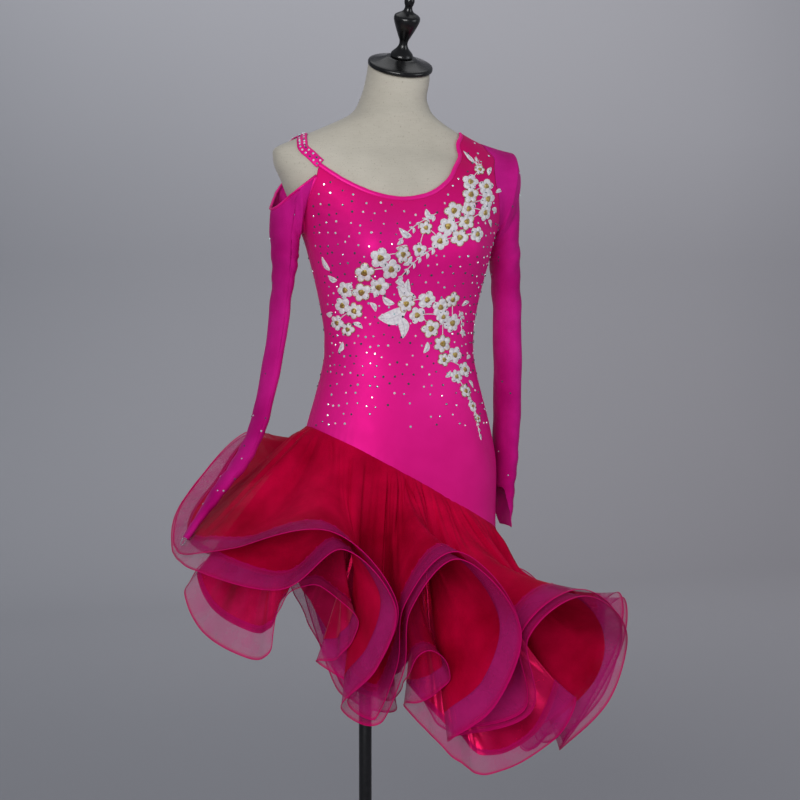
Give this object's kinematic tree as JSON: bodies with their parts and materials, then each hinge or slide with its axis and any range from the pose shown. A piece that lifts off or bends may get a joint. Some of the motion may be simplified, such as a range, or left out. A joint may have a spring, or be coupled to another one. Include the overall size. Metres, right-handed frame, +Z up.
{
  "type": "ballroom dance dress on a limbless dress form",
  "caption": "Cold-shoulder dance dress with a fitted satin bodice, mesh sleeves, slanted hip seam and a fluted tulle skirt with horsehair hems, on a limbless form on a pole stand.",
  "frame": {"origin": "on the floor at the centre of the stand base's underside, under the pole's axis", "axes": "+Z up; the dress faces -Y, the wearer's left is +X"},
  "size_m": [0.7397, 0.6831, 1.5862],
  "materials": {
    "form_linen": "woven linen cover, matte",
    "black_gloss": "black gloss plastic",
    "black_metal": "black painted metal, satin",
    "satin_fuchsia": "stretch satin, soft sheen",
    "binding": "folded satin binding",
    "sleeve_mesh": "fine stretch mesh, slightly sheer",
    "tulle": "soft layered tulle, sheer",
    "braid": "horsehair braid, sheer crinoline weave",
    "satin_red": "satin, bright sheen",
    "lace": "white corded lace with gold centres"
  },
  "bodies": {
    "root": {"dress_form": "form_linen", "neck_plate": "black_gloss", "finial": "black_gloss", "stand_pole": "black_metal", "stand_base": "black_metal", "bodice_front": "satin_fuchsia", "bodice_back": "satin_fuchsia", "neck_binding_front": "binding", "neck_binding_back": "binding", "shoulder_strap": "binding", "sleeve_left": "sleeve_mesh", "sleeve_right": "sleeve_mesh", "skirt_outer": "tulle", "skirt_outer_braid": "braid", "skirt_second": "tulle", "skirt_second_braid": "braid", "skirt_satin": "satin_red", "skirt_satin_braid": "braid", "applique_shoulder": "lace", "applique_bust": "lace", "applique_waist": "lace"}
  },
  "joints": []
}
